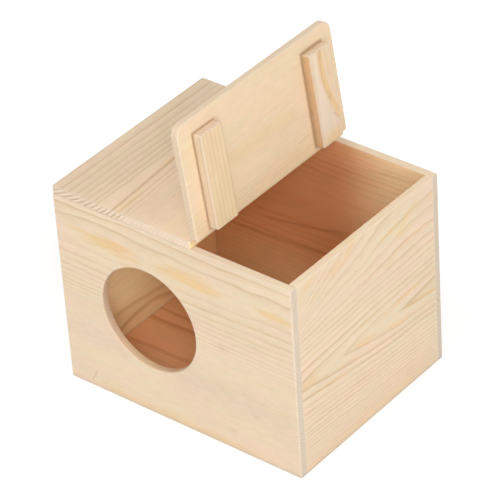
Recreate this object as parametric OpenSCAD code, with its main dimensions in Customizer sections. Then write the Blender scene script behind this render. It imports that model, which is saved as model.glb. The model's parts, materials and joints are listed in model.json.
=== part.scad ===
// Wooden parakeet house: a small nest box of thin pine boards. A round entrance hole
// goes through the front panel. The fixed roof board covers the left part of the box,
// and a hinged lid board covers the rest. It stands open here, leaning a little back.
// The origin is at the centre of the base, the front faces -Y and +Z is up.

/* [Box] */
// Outer length of the box, from end panel to end panel
box_length = 150; // [130:1:220]
// Outer depth of the box, from front panel to back panel
box_depth = 120; // [105:1:180]
// Height of the four walls, without the roof
wall_height = 114.5; // [100:0.5:180]
// Thickness of the wall, floor and roof boards
board_thickness = 4.5; // [4:0.1:9]
// Radius of the sanded arrises along the boards' edges
arris_radius = 0.6; // [0.3:0.05:0.9]
// Radius of the four upright corners of the walls
wall_corner_radius = 1; // [1:0.1:2]

/* [Entrance] */
// Diameter of the entrance hole
entrance_diameter = 60; // [30:1:64]
// Distance of the hole's centre from the left end of the box
entrance_from_left = 57.2; // [45:0.1:90]
// Height of the hole's centre above the base
entrance_height = 59; // [45:0.5:62]
// Radius of the rounded rim of the hole on the outside
outer_rim_radius = 0.9; // [0.3:0.1:2]
// Radius of the rounded rim of the hole on the inside
inner_rim_radius = 0.5; // [0.3:0.1:2]

/* [Roof] */
// Length of the fixed roof board, from the left end to the seam
roof_length = 88.6; // [60:0.1:95]
// Radius of the roof board's upright corners
roof_corner_radius = 1.5; // [1:0.1:5]
// Gap at the seam between the roof board and the lid board
seam_gap = 0.8; // [0.7:0.05:1.5]

/* [Lid] */
// Distance that the closed lid reaches past the right end of the box
lid_overhang = 2.6; // [0:0.1:8]
// Gap between the closed lid and the tops of the walls
lid_seat_gap = 0.2; // [0.1:0.05:0.5]
// Radius of the two upright corners at the lid's free edge
lid_free_corner_radius = 6; // [1:0.5:12]
// Radius of the two upright corners at the lid's hinged edge
lid_hinged_corner_radius = 1.5; // [1:0.1:5]
// Angle that the lid stands open, counted from closed
lid_open_angle = 97.4; // [0:0.1:175]

/* [Battens] */
// Width of each batten under the lid
batten_width = 16; // [8:0.5:20]
// Thickness of each batten
batten_thickness = 5.5; // [4:0.5:8]
// Radius of the battens' four corners
batten_corner_radius = 1; // [1:0.1:3]
// Distance from the lid's hinged edge to the near end of a batten
batten_setback = 2.8; // [1:0.1:10]
// Clearance between a batten's far end and the right end panel
batten_end_clearance = 1; // [0.9:0.1:5]
// Clearance between the front batten and the front panel
front_batten_clearance = 5.6; // [1:0.1:15]
// Clearance between the rear batten and the back panel
rear_batten_clearance = 4.6; // [1:0.1:15]

/* [Hinges] */
// Length of each hinge along its pin
hinge_length = 18; // [14:0.5:30]
// Width of each leaf, from the pin's axis to its outer edge
leaf_width = 9; // [7:0.5:14]
// Thickness of the leaf metal
leaf_thickness = 0.5; // [0.4:0.05:0.65]
// Radius of the leaf's outer corners
leaf_corner_radius = 1.2; // [0.5:0.1:3]
// Height of the pin's axis above the boards' top faces
pin_height = 0.7; // [0.65:0.05:1]
// Outer radius of the rolled knuckles
knuckle_radius = 0.85; // [0.8:0.05:0.95]
// Number of knuckles on each hinge
knuckle_count = 5; // [3:2:7]
// Radius of the hinge pin
pin_radius = 0.4; // [0.3:0.05:0.5]
// Distance from the front or back face of the box to the middle of the nearer hinge
hinge_inset = 30; // [20:0.5:40]

/* [Hinge screws] */
// Length of each screw, head included
screw_length = 3.7; // [2.5:0.1:4]
// Radius of the screw's shank
screw_radius = 0.6; // [0.4:0.05:0.8]
// Radius of the screw's countersunk head
screw_head_radius = 1.1; // [0.9:0.05:1.4]
// Distance between the two screws of a leaf
screw_spacing = 11; // [8:0.5:11]
// Distance of the screws from the pin's axis
screw_from_pin = 5.2; // [4:0.1:5.5]

/* [Hidden] */

$fn = 72;

// A little extra length, so that a cut runs clear of the face it opens
cut_margin = 1;
// Air between the knuckles of the two leaves, and between a knuckle and the other leaf
knuckle_gap = 0.25;
// Radial clearance of the pin in the roof leaf, which holds it, and in the lid leaf, which turns
held_pin_clearance = 0.02;
running_pin_clearance = 0.05;
// Radial clearance of a screw in its leaf and in its pilot hole
screw_clearance = 0.02;
// Depth of a pilot hole below the screw's tip
pilot_depth_margin = 0.2;
// Length of the screw's tapered tip
screw_tip_length = 0.9;
// Width, length and depth of the cross recess in a screw's head
recess_width = 0.32;
recess_length = 1.3;
recess_depth = 0.3;
// Radius of the flat left at the screw's tip
screw_tip_radius = 0.1;
// Roundness of the sanded arris on the inner top edges of the walls
wall_top_arris = 0.4;

left_x = -box_length / 2;
right_x = box_length / 2;
front_y = -box_depth / 2;
back_y = box_depth / 2;
inner_length = box_length - 2 * board_thickness;
inner_depth = box_depth - 2 * board_thickness;

roof_top = wall_height + board_thickness;
seam_left = left_x + roof_length;
seam_right = seam_left + seam_gap;
pin_x = seam_left + seam_gap / 2;
pin_z = roof_top + pin_height;

lid_thickness = board_thickness - lid_seat_gap;
lid_bottom = wall_height + lid_seat_gap;
lid_length = right_x + lid_overhang - seam_right;

batten_start = seam_right + batten_setback;
batten_end = right_x - board_thickness - batten_end_clearance;
front_batten_y = front_y + board_thickness + front_batten_clearance;
rear_batten_y = back_y - board_thickness - rear_batten_clearance - batten_width;

front_hinge_y = front_y + hinge_inset;
rear_hinge_y = back_y - hinge_inset;
hinge_places = [front_hinge_y, rear_hinge_y];
screw_offsets = [-screw_spacing / 2, screw_spacing / 2];
knuckle_length = (hinge_length - (knuckle_count - 1) * knuckle_gap) / knuckle_count;
knuckle_pitch = knuckle_length + knuckle_gap;

pine_face = [0.93, 0.84, 0.70];
pine_warm = [0.90, 0.78, 0.62];
pine_inside = [0.86, 0.70, 0.52];
hinge_brass = [0.80, 0.66, 0.38];
screw_steel = [0.72, 0.72, 0.70];

// Outline of a board's edge: a rectangle from the origin with its four corners rounded
module edge_outline(width, height, radius) {
    translate([radius, 0]) square([width - 2 * radius, height]);
    translate([0, radius]) square([width, height - 2 * radius]);
    for (x = [radius, width - radius], y = [radius, height - radius])
        translate([x, y]) circle(r = radius);
}

// Round corner post of a board, with its top and bottom rims eased like the long edges
module corner_coin(corner_radius, thickness, edge_radius) {
    rotate_extrude() intersection() {
        translate([-corner_radius, 0])
            edge_outline(2 * corner_radius, thickness, edge_radius);
        square([corner_radius, thickness]);
    }
}

// Flat board from the origin, with eased arrises all round. The corners at the low x end
// and at the high x end have their own radii
module eased_board(length, depth, thickness, low_radius, high_radius, edge_radius) {
    widest = max(low_radius, high_radius);
    narrowest = min(low_radius, high_radius);
    // Lengthways core between the corner posts
    translate([low_radius, 0, 0]) rotate([90, 0, 90])
        linear_extrude(length - low_radius - high_radius)
            edge_outline(depth, thickness, edge_radius);
    // Crossways core up to both end edges
    translate([0, depth - widest, 0]) rotate([90, 0, 0])
        linear_extrude(depth - 2 * widest)
            edge_outline(length, thickness, edge_radius);
    // The end with the smaller posts reaches further out to the sides
    reach = length - widest;
    if (widest > narrowest)
        translate([low_radius < high_radius ? 0 : widest, depth - narrowest, 0])
            rotate([90, 0, 0]) linear_extrude(depth - 2 * narrowest)
                edge_outline(reach, thickness, edge_radius);
    for (y = [low_radius, depth - low_radius])
        translate([low_radius, y, 0]) corner_coin(low_radius, thickness, edge_radius);
    for (y = [high_radius, depth - high_radius])
        translate([length - high_radius, y, 0])
            corner_coin(high_radius, thickness, edge_radius);
}

// The four walls' common outside: everything within the box's own sanded outer arrises
module wall_envelope() {
    translate([left_x, front_y, 0])
        eased_board(box_length, box_depth, wall_height,
                    wall_corner_radius, wall_corner_radius, arris_radius);
}

// Upright slice of wall between two faces, its top edges lightly eased
module wall_slice(length) {
    rotate([90, 0, 90]) linear_extrude(length) union() {
        square([board_thickness, wall_height - wall_top_arris]);
        translate([wall_top_arris, 0])
            square([board_thickness - 2 * wall_top_arris, wall_height]);
        for (x = [wall_top_arris, board_thickness - wall_top_arris])
            translate([x, wall_height - wall_top_arris]) circle(r = wall_top_arris);
    }
}

// Rounded mouth that widens a hole where it opens: revolved about the hole's axis, with
// the face at z = 0 and the board below it
module rim_cut(hole_radius, rim_radius) {
    rotate_extrude() difference() {
        translate([0, -rim_radius]) square([hole_radius + rim_radius, rim_radius + cut_margin]);
        translate([hole_radius + rim_radius, -rim_radius]) circle(r = rim_radius);
    }
}

module entrance_cut() {
    hole_radius = entrance_diameter / 2;
    translate([left_x + entrance_from_left, front_y, entrance_height]) rotate([90, 0, 0]) {
        translate([0, 0, -board_thickness - cut_margin])
            cylinder(r = hole_radius, h = board_thickness + 2 * cut_margin);
        rim_cut(hole_radius, outer_rim_radius);
        translate([0, 0, -board_thickness]) mirror([0, 0, 1])
            rim_cut(hole_radius, inner_rim_radius);
    }
}

module front_panel() {
    color(pine_face) difference() {
        intersection() {
            wall_envelope();
            translate([left_x, front_y, 0]) wall_slice(box_length);
        }
        entrance_cut();
    }
}

module back_panel() {
    color(pine_face) intersection() {
        wall_envelope();
        translate([left_x, back_y - board_thickness, 0]) wall_slice(box_length);
    }
}

// End panel between the front and back panels, its outer face at x = 0
module end_panel() {
    translate([0, -inner_depth / 2, 0]) rotate([0, 0, 90]) wall_slice(inner_depth);
}

module left_end_panel() {
    color(pine_warm) intersection() {
        wall_envelope();
        translate([left_x + board_thickness, 0, 0]) end_panel();
    }
}

module right_end_panel() {
    color(pine_warm) intersection() {
        wall_envelope();
        translate([right_x, 0, 0]) end_panel();
    }
}

module floor_panel() {
    color(pine_inside) translate([-inner_length / 2, -inner_depth / 2, 0])
        cube([inner_length, inner_depth, board_thickness]);
}

// Pilot holes under the leaves, drilled down from a top face at the given height.
// The side is -1 for the roof and 1 for the lid
module pilot_holes(side, top_face) {
    depth = screw_length - leaf_thickness + pilot_depth_margin;
    for (hinge_y = hinge_places, offset = screw_offsets)
        translate([pin_x + side * screw_from_pin, hinge_y + offset, top_face - depth])
            cylinder(r = screw_radius + screw_clearance, h = depth + cut_margin, $fn = 24);
}

module roof_board() {
    color(pine_warm) difference() {
        translate([left_x, front_y, wall_height])
            eased_board(roof_length, box_depth, board_thickness,
                        roof_corner_radius, roof_corner_radius, arris_radius);
        pilot_holes(-1, roof_top);
    }
}

// Turns what is drawn with the lid closed to where the lid stands open
module lid_opened() {
    translate([pin_x, 0, pin_z]) rotate([0, -lid_open_angle, 0])
        translate([-pin_x, 0, -pin_z]) children();
}

module lid_board() {
    color(pine_face) lid_opened() difference() {
        translate([seam_right, front_y, lid_bottom])
            eased_board(lid_length, box_depth, lid_thickness,
                        lid_hinged_corner_radius, lid_free_corner_radius, arris_radius);
        pilot_holes(1, roof_top);
    }
}

// Batten glued flat to the lid's underside, eased on its edges and ends
module batten(place_y) {
    length = batten_end - batten_start;
    lid_opened() translate([batten_start, place_y, lid_bottom]) mirror([0, 0, 1])
        eased_board(length, batten_width, batten_thickness,
                    batten_corner_radius, batten_corner_radius, arris_radius);
}

module front_batten() {
    color(pine_warm) batten(front_batten_y);
}

module rear_batten() {
    color(pine_warm) batten(rear_batten_y);
}

// Leaf of sheet metal with its knuckles rolled round the pin, drawn with the pin's axis
// along Y through the origin and the plate on the +X side, lying on the board's top face.
// The first knuckle is the roof leaf's, so a leaf has the odd or the even ones
module rolled_leaf(first_knuckle, bore_radius) {
    plate_start = knuckle_radius + knuckle_gap;
    difference() {
        union() {
            translate([plate_start, -hinge_length / 2, -pin_height])
                leaf_plate(leaf_width - plate_start);
            for (index = [first_knuckle : 2 : knuckle_count - 1])
                translate([0, index * knuckle_pitch - hinge_length / 2, 0])
                    knuckle(plate_start);
        }
        rotate([90, 0, 0])
            cylinder(r = bore_radius, h = hinge_length + 2 * cut_margin, center = true);
        for (offset = screw_offsets)
            translate([screw_from_pin, offset, leaf_thickness - pin_height])
                countersink();
    }
}

// Flat plate of a leaf, square at the knuckles and round at its two outer corners
module leaf_plate(width) {
    linear_extrude(leaf_thickness) union() {
        square([width - leaf_corner_radius, hinge_length]);
        translate([0, leaf_corner_radius])
            square([width, hinge_length - 2 * leaf_corner_radius]);
        for (y = [leaf_corner_radius, hinge_length - leaf_corner_radius])
            translate([width - leaf_corner_radius, y]) circle(r = leaf_corner_radius);
    }
}

// One rolled knuckle with the strip that ties it to the plate
module knuckle(plate_start) {
    rotate([-90, 0, 0]) linear_extrude(knuckle_length) union() {
        circle(r = knuckle_radius);
        translate([0, pin_height - leaf_thickness]) square([plate_start, leaf_thickness]);
    }
}

// Cone for a screw's head, and the clear hole below it, with the leaf's top at z = 0
module countersink() {
    head_depth = screw_head_radius - screw_radius;
    translate([0, 0, -head_depth])
        cylinder(r1 = screw_radius + screw_clearance, h = head_depth,
                 r2 = screw_head_radius + screw_clearance, $fn = 24);
    translate([0, 0, -leaf_thickness - cut_margin])
        cylinder(r = screw_radius + screw_clearance, h = leaf_thickness + cut_margin, $fn = 24);
    cylinder(r = screw_head_radius + screw_clearance, h = cut_margin, $fn = 24);
}

module roof_leaf(hinge_y) {
    color(hinge_brass) translate([pin_x, hinge_y, pin_z]) mirror([1, 0, 0])
        rolled_leaf(0, pin_radius + held_pin_clearance);
}

module lid_leaf(hinge_y) {
    color(hinge_brass) lid_opened() translate([pin_x, hinge_y, pin_z])
        rolled_leaf(1, pin_radius + running_pin_clearance);
}

module hinge_pin(hinge_y) {
    color(screw_steel) translate([pin_x, hinge_y, pin_z]) rotate([90, 0, 0])
        cylinder(r = pin_radius, h = hinge_length, center = true, $fn = 32);
}

module front_hinge_roof_leaf() {
    roof_leaf(front_hinge_y);
}

module front_hinge_lid_leaf() {
    lid_leaf(front_hinge_y);
}

module front_hinge_pin() {
    hinge_pin(front_hinge_y);
}

module rear_hinge_roof_leaf() {
    roof_leaf(rear_hinge_y);
}

module rear_hinge_lid_leaf() {
    lid_leaf(rear_hinge_y);
}

module rear_hinge_pin() {
    hinge_pin(rear_hinge_y);
}

// Countersunk wood screw, point down, with the top of its head at z = 0
module wood_screw() {
    head_depth = screw_head_radius - screw_radius;
    shank_end = screw_tip_length - screw_length;
    difference() {
        union() {
            translate([0, 0, -head_depth])
                cylinder(r1 = screw_radius, r2 = screw_head_radius, h = head_depth, $fn = 24);
            translate([0, 0, shank_end])
                cylinder(r = screw_radius, h = -shank_end - head_depth, $fn = 24);
            translate([0, 0, -screw_length])
                cylinder(r1 = screw_tip_radius, r2 = screw_radius, h = screw_tip_length, $fn = 24);
        }
        for (turn = [0, 90])
            rotate([0, 0, turn]) translate([-recess_length / 2, -recess_width / 2, -recess_depth])
                cube([recess_length, recess_width, recess_depth + cut_margin]);
    }
}

// The two screws of each leaf on one side: -1 for the roof and 1 for the lid
module leaf_screws(side) {
    for (hinge_y = hinge_places, offset = screw_offsets)
        translate([pin_x + side * screw_from_pin, hinge_y + offset, roof_top + leaf_thickness])
            wood_screw();
}

module roof_leaf_screws() {
    color(screw_steel) leaf_screws(-1);
}

module lid_leaf_screws() {
    color(screw_steel) lid_opened() leaf_screws(1);
}

front_panel();
back_panel();
left_end_panel();
right_end_panel();
floor_panel();
roof_board();
lid_board();
front_batten();
rear_batten();
front_hinge_roof_leaf();
front_hinge_lid_leaf();
front_hinge_pin();
rear_hinge_roof_leaf();
rear_hinge_lid_leaf();
rear_hinge_pin();
roof_leaf_screws();
lid_leaf_screws();
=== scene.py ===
import json
import math

import bpy
from mathutils import Matrix, Vector


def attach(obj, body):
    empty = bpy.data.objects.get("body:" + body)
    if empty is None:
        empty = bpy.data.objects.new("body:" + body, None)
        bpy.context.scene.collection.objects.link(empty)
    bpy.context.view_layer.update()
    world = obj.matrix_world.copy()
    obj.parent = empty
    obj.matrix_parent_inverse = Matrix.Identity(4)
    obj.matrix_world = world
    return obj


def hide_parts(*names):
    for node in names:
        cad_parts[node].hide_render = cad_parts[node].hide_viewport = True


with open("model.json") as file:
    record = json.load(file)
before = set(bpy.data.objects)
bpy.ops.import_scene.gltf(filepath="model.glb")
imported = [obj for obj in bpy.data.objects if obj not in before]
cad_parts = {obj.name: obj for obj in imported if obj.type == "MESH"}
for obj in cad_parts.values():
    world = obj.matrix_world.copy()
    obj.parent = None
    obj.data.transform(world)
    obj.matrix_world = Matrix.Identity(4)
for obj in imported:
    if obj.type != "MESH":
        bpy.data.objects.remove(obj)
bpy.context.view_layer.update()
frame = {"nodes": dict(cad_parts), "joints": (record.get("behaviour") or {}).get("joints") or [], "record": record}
nodes = frame["nodes"]
print("frame loaded:", len(nodes), "pieces")

record = frame["record"]
entrance = {mount["name"]: mount for mount in record["mounts"]}["entrance_hole"]
lidPieces = record["behaviour"]["bodies"]["lid"]
lidHinge = frame["joints"][0]
lidPin = tuple(lidHinge["pos_m"])
openAngle = math.radians(lidHinge["range_deg"][1])  # from closed to how the lid stands at rest
atPin = Matrix.Translation(lidPin)
openLid = atPin @ Matrix.Rotation(openAngle, 4, "Y").inverted() @ atPin.inverted()
perMetre = 1000.0  # the materials count in millimetres

camera = {
    "place": (0.859443, -1.004437, 1.010107),  # metres, fitted to the box's edges
    "right": (0.78423098, 0.61788198, -0.05660061),
    "up": (-0.32205515, 0.48333044, 0.81404678),
    "back": (0.53034163, -0.62017219, 0.57803478),
    "lens": 231.2366,  # millimetres, on a sensor 36 mm wide
    "sensor": 36.0,
    "clip": (0.05, 20.0),
}


def addObject(name, data):
    item = bpy.data.objects.new(name, data)
    bpy.context.scene.collection.objects.link(item)
    return item


def setCamera(settings):
    lensData = bpy.data.cameras.new("camera")
    lensData.sensor_width = settings["sensor"]
    lensData.lens = settings["lens"]
    lensData.clip_start, lensData.clip_end = settings["clip"]
    eye = addObject("camera", lensData)
    turn = Matrix((settings["right"], settings["up"], settings["back"])).transposed()
    eye.matrix_world = Matrix.Translation(settings["place"]) @ turn.to_4x4()
    bpy.context.scene.camera = eye


setCamera(camera)
bpy.context.scene.view_settings.view_transform = "Standard"


# shorthands for wiring nodes: a value may be a number, a colour or another node's output

def place(tree, kind, **settings):
    node = tree.nodes.new(kind)
    for name, value in settings.items():
        setattr(node, name, value)
    return node


def feed(tree, socket, value):
    if isinstance(value, bpy.types.NodeSocket):
        tree.links.new(value, socket)
    elif value is not None:
        if socket.type == "RGBA" and len(value) == 3:
            value = (*value, 1.0)
        socket.default_value = value


def feedAll(tree, sockets, values):
    for name, value in values.items():
        feed(tree, sockets[name], value)


def calc(tree, operation, a, b=None, c=None, clamp=False):
    node = place(tree, "ShaderNodeMath", operation=operation, use_clamp=clamp)
    for socket, value in zip(node.inputs, (a, b, c)):
        feed(tree, socket, value)
    return node.outputs[0]


def add(tree, a, b):
    return calc(tree, "ADD", a, b)


def subtract(tree, a, b):
    return calc(tree, "SUBTRACT", a, b)


def multiply(tree, a, b, clamp=False):
    return calc(tree, "MULTIPLY", a, b, clamp=clamp)


def multiplyAdd(tree, a, b, c):
    return calc(tree, "MULTIPLY_ADD", a, b, c)


def divide(tree, a, b, clamp=False):
    return calc(tree, "DIVIDE", a, b, clamp=clamp)


def maximum(tree, a, b):
    return calc(tree, "MAXIMUM", a, b)


def vectorCalc(tree, operation, a, b=None):
    node = place(tree, "ShaderNodeVectorMath", operation=operation)
    feed(tree, node.inputs[0], a)
    if b is not None:
        feed(tree, node.inputs["Scale" if operation == "SCALE" else 1], b)
    return node.outputs["Value" if operation == "LENGTH" else "Vector"]


def ramp(tree, value, low, high, start=0.0, end=1.0, smooth=True):
    kind = "SMOOTHSTEP" if smooth else "LINEAR"
    node = place(tree, "ShaderNodeMapRange", interpolation_type=kind)
    limits = {"From Min": low, "From Max": high, "To Min": start, "To Max": end}
    feedAll(tree, node.inputs, {"Value": value, **limits})
    return node.outputs["Result"]


def noise(tree, vector, stretch, detail=2.0, roughness=0.5):
    node = place(tree, "ShaderNodeTexNoise")
    spot = vectorCalc(tree, "MULTIPLY", vector, stretch)
    settings = {"Scale": 1.0, "Detail": detail, "Roughness": roughness}
    feedAll(tree, node.inputs, {"Vector": spot, **settings})
    return node.outputs["Fac"]


def swing(tree, vector, stretch, detail=1.0):  # noise about zero, from -0.5 to 0.5
    return subtract(tree, noise(tree, vector, stretch, detail), 0.5)


def mixColour(tree, factor, a, b, blend="MIX"):
    node = place(tree, "ShaderNodeMix", data_type="RGBA", blend_type=blend)
    feedAll(tree, node.inputs, {"Factor": factor, "A": a, "B": b})
    return node.outputs["Result"]


def tinted(tree, share, colour, tint):  # the tint is a factor on the colour
    return mixColour(tree, share, colour, mixColour(tree, 1.0, colour, tint, "MULTIPLY"))


def split(tree, vector):
    node = place(tree, "ShaderNodeSeparateXYZ")
    feed(tree, node.inputs[0], vector)
    return node.outputs


def join(tree, x, y, z):
    node = place(tree, "ShaderNodeCombineXYZ")
    feedAll(tree, node.inputs, {"X": x, "Y": y, "Z": z})
    return node.outputs[0]


def distance(tree, x, y):
    return vectorCalc(tree, "LENGTH", join(tree, x, y, 0.0))


def newGroup(name, inputs, outputs, kind="ShaderNodeTree"):
    tree = bpy.data.node_groups.new(name, kind)
    for label, value in inputs.items():  # a value is the input's default, or the kind of input
        sort = "Color" if isinstance(value, tuple) else "Float"
        if isinstance(value, str):
            sort, value = value, None
        socket = tree.interface.new_socket(
            label, in_out="INPUT", socket_type="NodeSocket" + sort)
        if value is not None:
            socket.default_value = (*value, 1.0) if sort == "Color" else value
    for label, sort in outputs.items():
        tree.interface.new_socket(label, in_out="OUTPUT", socket_type="NodeSocket" + sort)
    given = tree.nodes.new("NodeGroupInput").outputs
    return tree, given, tree.nodes.new("NodeGroupOutput").inputs


def useGroup(tree, group, **values):
    node = place(tree, "ShaderNodeGroup", node_tree=group)
    feedAll(tree, node.inputs, values)
    return node.outputs


def feedNoises(tree, result, spot, habits):  # a noise for each output, or only its peaks
    for name, habit in habits.items():
        detail, roughness = habit.get("detail", 2.0), habit.get("roughness", 0.5)
        value = noise(tree, spot, habit["stretch"], detail, roughness)
        if "peaks" in habit:
            value = ramp(tree, value, *habit["peaks"])
        feed(tree, result[name], value)


seedStep = (37.0, 1.0, 11.0)  # millimetres from one seed's stretch of noise to the next


def seeded(tree, given):  # each board gets its own stretch of noise
    step = vectorCalc(tree, "SCALE", seedStep, given["Seed"])
    return vectorCalc(tree, "ADD", given["Board"], step)


# The wood groups work in millimetres on a board's own axes: x along the grain, y across the
# board and z into it from its best face. A stretch is how fast a noise changes on each axis.

ringHabit = {
    "wave": (0.016, 0.045, 0.045),
    "ripple": (0.06, 0.18, 0.18),
    "rippleShare": 0.25,
    "fray": (0.5, 3.0, 3.0),
    "frayShare": 0.04,
    "stray": 4.0,  # millimetres that a ring strays by
    "years": (0.25, 1.0, 1.0),
    "growth": 3.0,  # millimetres that good and bad years add or take
    "late": (0.25, 0.90),  # where the late wood, and its dark line, rise in a ring
    "line": (0.70, 0.93),
    "fall": (0.93, 1.0),
}


def ringGroup():
    tree, given, result = newGroup(
        "growthRings",
        {
            "Board": "Vector",
            "PithAcross": 0.0,
            "PithDepth": 40.0,
            "LeanAcross": 0.0,
            "LeanDepth": 0.0,
            "Spacing": 1.7,
            "Start": 0.0,
            "Wander": 1.0,
            "Uneven": 1.0,
            "Tip": 0.0,
            "Seed": 0.0,
        },
        {"Late": "Float", "Line": "Float", "Ring": "Float", "Face": "Float"},
    )
    along, across, depth = split(tree, given["Board"])
    spot = seeded(tree, given)
    wave = swing(tree, spot, ringHabit["wave"])
    ripple = swing(tree, spot, ringHabit["ripple"], 2.0)
    fray = swing(tree, spot, ringHabit["fray"], 2.0)
    wander = multiplyAdd(tree, ripple, ringHabit["rippleShare"], wave)
    wander = multiply(tree, wander, given["Wander"])
    wander = multiplyAdd(tree, fray, ringHabit["frayShare"], wander)
    pithAcross = multiplyAdd(tree, given["LeanAcross"], along, given["PithAcross"])
    pithDepth = multiplyAdd(tree, given["LeanDepth"], along, given["PithDepth"])
    aside = subtract(tree, across, pithAcross)
    below = subtract(tree, depth, pithDepth)
    # Tip draws the arcs out to points where they cross the line over the pith
    pointed = divide(tree, given["Tip"], add(tree, calc(tree, "ABSOLUTE", aside), 1.0))
    radius = distance(tree, multiply(tree, aside, add(tree, pointed, 1.0)), below)
    radius = multiplyAdd(tree, wander, ringHabit["stray"], radius)
    # Face is where this ring comes out on the best face: a zone of lines follows its arcs
    reach = subtract(
        tree, multiply(tree, radius, radius), multiply(tree, pithDepth, pithDepth))
    reach = calc(tree, "SQRT", maximum(tree, reach, 0.0))
    face = multiplyAdd(tree, calc(tree, "SIGN", aside), reach, pithAcross)
    year = swing(tree, join(tree, radius, given["Seed"], 0.0), ringHabit["years"])
    uneven = multiply(tree, year, given["Uneven"])
    radius = multiplyAdd(tree, uneven, ringHabit["growth"], radius)
    field = divide(tree, add(tree, radius, given["Start"]), given["Spacing"])
    phase = calc(tree, "FRACT", field)
    fall = ramp(tree, phase, *ringHabit["fall"], 1.0, 0.0)
    which = place(tree, "ShaderNodeTexWhiteNoise", noise_dimensions="2D")
    number = join(tree, calc(tree, "FLOOR", field), given["Seed"], 0.0)
    feed(tree, which.inputs["Vector"], number)
    feedAll(tree, result, {
        "Late": multiply(tree, ramp(tree, phase, *ringHabit["late"]), fall),
        "Line": multiply(tree, ramp(tree, phase, *ringHabit["line"]), fall),
        "Ring": which.outputs["Value"],
        "Face": face,
    })
    return tree


lineHabit = {
    "waver": (0.045, 1.0, 1.0),
    "fringe": (0.4, 2.0, 2.0),
    "fringeShare": 0.35,
    "rise": (-1.0, -0.1),  # in widths from the line's centre
    "fall": (0.05, 0.5),
    "fade": (0.0, 12.0),  # millimetres at either end
}


def grainLineGroup():  # one dark line of late wood, sharp on its outer side
    tree, given, result = newGroup(
        "grainLine",
        {
            "Board": "Vector",
            "Face": 0.0,
            "Centre": 0.0,
            "Slope": 0.0,
            "Bend": 0.0,
            "Width": 1.5,
            "From": -200.0,
            "To": 200.0,
            "Waver": 1.5,
            "Strength": 0.6,
            "Seed": 0.0,
        },
        {"Line": "Float"},
    )
    along = split(tree, given["Board"])[0]
    slope = multiplyAdd(tree, given["Bend"], along, given["Slope"])
    centre = multiplyAdd(tree, slope, along, given["Centre"])
    waver = swing(tree, join(tree, along, given["Seed"], 0.0), lineHabit["waver"])
    centre = multiplyAdd(tree, waver, given["Waver"], centre)
    offset = divide(tree, subtract(tree, given["Face"], centre), given["Width"])
    fringe = swing(tree, seeded(tree, given), lineHabit["fringe"], 2.0)
    offset = multiplyAdd(tree, fringe, lineHabit["fringeShare"], offset)
    rise = ramp(tree, offset, *lineHabit["rise"])
    line = multiply(tree, rise, ramp(tree, offset, *lineHabit["fall"], 1.0, 0.0))
    fadeIn = ramp(tree, subtract(tree, along, given["From"]), *lineHabit["fade"])
    fadeOut = ramp(tree, subtract(tree, given["To"], along), *lineHabit["fade"])
    line = multiply(tree, line, multiply(tree, fadeIn, fadeOut))
    feed(tree, result["Line"], multiply(tree, line, given["Strength"]))
    return tree


lobeHabit = {"ragged": (0.05, 0.55, 0.55), "raggedShare": 1.6, "edge": (1.1, 0.25)}


def lobeGroup():  # a long patch of resin-stained wood with ragged ends
    tree, given, result = newGroup(
        "resinLobe",
        {
            "Board": "Vector",
            "Along": 0.0,
            "Across": 0.0,
            "Length": 20.0,
            "Width": 4.0,
            "Lift": 0.0,
            "Strength": 0.6,
            "Seed": 0.0,
        },
        {"Lobe": "Float"},
    )
    along, across = split(tree, given["Board"])[:2]
    along = subtract(tree, along, given["Along"])
    across = subtract(tree, across, given["Across"])
    across = subtract(tree, across, multiply(tree, along, given["Lift"]))
    away = distance(
        tree, divide(tree, along, given["Length"]), divide(tree, across, given["Width"]))
    ragged = swing(tree, seeded(tree, given), lobeHabit["ragged"], 3.0)
    away = multiplyAdd(tree, ragged, lobeHabit["raggedShare"], away)
    feed(tree, result["Lobe"], ramp(tree, away, *lobeHabit["edge"], 0.0, given["Strength"]))
    return tree


fibreHabit = {
    "Fibre": {"stretch": (0.09, 2.6, 2.6), "detail": 3.0, "roughness": 0.6},
    "Canal": {"stretch": (0.22, 3.4, 3.4), "detail": 0.0, "peaks": (0.70, 0.80)},
    "Wash": {"stretch": (0.012, 0.05, 0.05)},
    "Mottle": {"stretch": (0.12, 0.28, 0.28), "detail": 3.0},
    "Fade": {"stretch": (0.03, 0.10, 0.10)},
    "Hue": {"stretch": (0.035, 0.11, 0.11), "detail": 3.0},
    "Fleck": {"stretch": (0.045, 0.16, 0.16), "peaks": (0.50, 0.66)},
    "Grit": {"stretch": (1.0, 4.5, 4.5), "detail": 3.0, "roughness": 0.7},
}


def fibreGroup():  # fibres, resin canals, slow changes of tone and hue, and the saw's grit
    inputs = {"Board": "Vector", "Seed": 0.0}
    tree, given, result = newGroup("woodFibre", inputs, dict.fromkeys(fibreHabit, "Float"))
    feedNoises(tree, result, seeded(tree, given), fibreHabit)
    return tree


knotHabit = {
    "drawnOut": 0.6,
    "ragged": (0.8, 1.6, 1.6),
    "raggedShare": 1.2,
    "eye": (0.75, 0.25),
    "halo": (1.9, 0.9),
    "haloShare": 0.35,
}


def knotGroup():  # a pin knot: a small dark core in a paler halo
    tree, given, result = newGroup(
        "pinKnot",
        {
            "Board": "Vector",
            "Along": 0.0,
            "Across": 0.0,
            "Radius": 1.0,
            "Strength": 0.5,
            "Seed": 0.0,
        },
        {"Core": "Float"},
    )
    along, across = split(tree, given["Board"])[:2]
    along = multiply(tree, subtract(tree, along, given["Along"]), knotHabit["drawnOut"])
    across = subtract(tree, across, given["Across"])
    away = divide(tree, distance(tree, along, across), given["Radius"])
    ragged = swing(tree, seeded(tree, given), knotHabit["ragged"], 2.0)
    away = multiplyAdd(tree, ragged, knotHabit["raggedShare"], away)
    halo = multiply(tree, ramp(tree, away, *knotHabit["halo"]), knotHabit["haloShare"])
    core = maximum(tree, ramp(tree, away, *knotHabit["eye"]), halo)
    feed(tree, result["Core"], multiply(tree, core, given["Strength"]))
    return tree


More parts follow.
